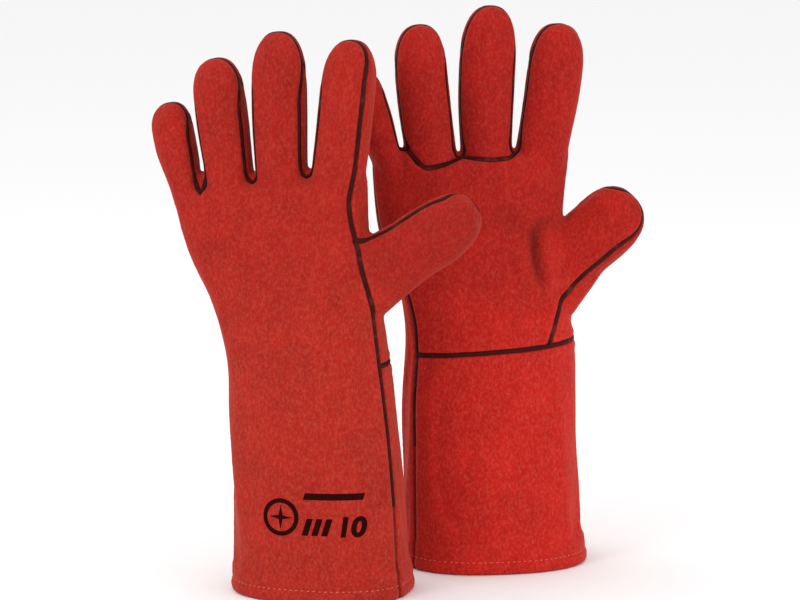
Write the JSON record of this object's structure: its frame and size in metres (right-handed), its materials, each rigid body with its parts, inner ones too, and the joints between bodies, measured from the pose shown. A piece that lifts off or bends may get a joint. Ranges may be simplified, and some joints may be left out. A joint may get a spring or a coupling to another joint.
{
  "type": "welding gloves",
  "caption": "Pair of long split-leather welding gauntlets with welted seams, lined hands and flared cuffs, standing upright on their cuff hems.",
  "frame": {"origin": "middle of the footprint of the pair, on the plane that the cuff hems stand on", "axes": "+Z from the cuff hems to the fingertips, -Y towards the viewer who sees the back of the left glove and the palm of the right glove, +X from the left glove to the right glove"},
  "size_m": [0.305, 0.1706, 0.3543],
  "materials": {
    "split_leather": "matt napped suede side of split cowhide, dyed red",
    "welt_leather": "flat dark leather strip",
    "hand_lining": "brushed cotton fleece",
    "cuff_lining": "plain woven cotton canvas"
  },
  "bodies": {
    "left_cuff": {"left_cuff_back": "split_leather", "left_cuff_front": "split_leather", "left_cuff_lining": "cuff_lining", "left_cuff_welt_thumb_side": "welt_leather", "left_cuff_welt_little_side": "welt_leather"},
    "left_hand": {"left_hand_back": "split_leather", "left_palm_panel": "split_leather", "left_hand_lining": "hand_lining", "left_wrist_welt": "welt_leather", "left_finger_base_welt": "welt_leather"},
    "left_thumb": {"left_thumb_back": "split_leather", "left_thumb_front": "split_leather", "left_thumb_welt": "welt_leather", "left_thumb_lining": "hand_lining"},
    "left_index": {"left_index_back": "split_leather", "left_index_front": "split_leather", "left_index_welt": "welt_leather", "left_index_lining": "hand_lining"},
    "left_middle": {"left_middle_back": "split_leather", "left_middle_front": "split_leather", "left_middle_welt": "welt_leather", "left_middle_lining": "hand_lining"},
    "left_ring": {"left_ring_back": "split_leather", "left_ring_front": "split_leather", "left_ring_welt": "welt_leather", "left_ring_lining": "hand_lining"},
    "left_little": {"left_little_back": "split_leather", "left_little_front": "split_leather", "left_little_welt": "welt_leather", "left_little_lining": "hand_lining"},
    "right_cuff": {"right_cuff_back": "split_leather", "right_cuff_front": "split_leather", "right_cuff_lining": "cuff_lining", "right_cuff_welt_thumb_side": "welt_leather", "right_cuff_welt_little_side": "welt_leather"},
    "right_hand": {"right_hand_back": "split_leather", "right_palm_panel": "split_leather", "right_hand_lining": "hand_lining", "right_wrist_welt": "welt_leather", "right_finger_base_welt": "welt_leather"},
    "right_thumb": {"right_thumb_back": "split_leather", "right_thumb_front": "split_leather", "right_thumb_welt": "welt_leather", "right_thumb_lining": "hand_lining"},
    "right_index": {"right_index_back": "split_leather", "right_index_front": "split_leather", "right_index_welt": "welt_leather", "right_index_lining": "hand_lining"},
    "right_middle": {"right_middle_back": "split_leather", "right_middle_front": "split_leather", "right_middle_welt": "welt_leather", "right_middle_lining": "hand_lining"},
    "right_ring": {"right_ring_back": "split_leather", "right_ring_front": "split_leather", "right_ring_welt": "welt_leather", "right_ring_lining": "hand_lining"},
    "right_little": {"right_little_back": "split_leather", "right_little_front": "split_leather", "right_little_welt": "welt_leather", "right_little_lining": "hand_lining"}
  },
  "joints": [
    {"name": "pair_slide", "type": "slide", "parent": "left_cuff", "child": "right_cuff", "axis": [1, 0, 0], "range_m": [0, 0.25]},
    {"name": "left_wrist_bend", "type": "hinge", "parent": "left_cuff", "child": "left_hand", "pos_m": [-0.06449, -0.06763, 0.146], "axis": [0.9744, -0.225, 0], "range_deg": [0, 35], "stiffness_Nm_per_rad": 0.3},
    {"name": "left_thumb_bend", "type": "hinge", "parent": "left_hand", "child": "left_thumb", "pos_m": [-0.021, -0.02594, 0.1905], "axis": [-0.2455, 0.0567, 0.9677], "range_deg": [0, 30], "stiffness_Nm_per_rad": 0.05},
    {"name": "left_index_bend", "type": "hinge", "parent": "left_hand", "child": "left_index", "pos_m": [-0.034, -0.02089, 0.25452], "axis": [-0.9695, 0.2238, -0.0995], "range_deg": [0, 12], "stiffness_Nm_per_rad": 0.05},
    {"name": "left_middle_bend", "type": "hinge", "parent": "left_hand", "child": "left_middle", "pos_m": [-0.0682, -0.013, 0.25101], "axis": [-0.9695, 0.2238, -0.0995], "range_deg": [0, 70], "stiffness_Nm_per_rad": 0.05},
    {"name": "left_ring_bend", "type": "hinge", "parent": "left_hand", "child": "left_ring", "pos_m": [-0.10006, -0.00564, 0.24774], "axis": [-0.9695, 0.2238, -0.0995], "range_deg": [0, 70], "stiffness_Nm_per_rad": 0.05},
    {"name": "left_little_bend", "type": "hinge", "parent": "left_hand", "child": "left_little", "pos_m": [-0.12608, 0.00037, 0.24507], "axis": [-0.9695, 0.2238, -0.0995], "range_deg": [0, 70], "stiffness_Nm_per_rad": 0.05},
    {"name": "right_wrist_bend", "type": "hinge", "parent": "right_cuff", "child": "right_hand", "pos_m": [0.04802, 0.06972, 0.146], "axis": [-0.9848, -0.1736, 0], "range_deg": [0, 35], "stiffness_Nm_per_rad": 0.3},
    {"name": "right_thumb_bend", "type": "hinge", "parent": "right_hand", "child": "right_thumb", "pos_m": [0.09173, 0.02625, 0.1845], "axis": [0.0886, 0.0156, -0.9959], "range_deg": [0, 30], "stiffness_Nm_per_rad": 0.05},
    {"name": "right_index_bend", "type": "hinge", "parent": "right_hand", "child": "right_index", "pos_m": [0.09089, 0.02407, 0.25932], "axis": [0.983, 0.1733, 0.0599], "range_deg": [0, 70], "stiffness_Nm_per_rad": 0.05},
    {"name": "right_middle_bend", "type": "hinge", "parent": "right_hand", "child": "right_middle", "pos_m": [0.05672, 0.01804, 0.25724], "axis": [0.983, 0.1733, 0.0599], "range_deg": [0, 70], "stiffness_Nm_per_rad": 0.05},
    {"name": "right_ring_bend", "type": "hinge", "parent": "right_hand", "child": "right_ring", "pos_m": [0.02274, 0.01205, 0.25517], "axis": [0.983, 0.1733, 0.0599], "range_deg": [0, 70], "stiffness_Nm_per_rad": 0.05},
    {"name": "right_little_bend", "type": "hinge", "parent": "right_hand", "child": "right_little", "pos_m": [-0.00414, 0.00731, 0.25353], "axis": [0.983, 0.1733, 0.0599], "range_deg": [0, 12], "stiffness_Nm_per_rad": 0.05}
  ]
}
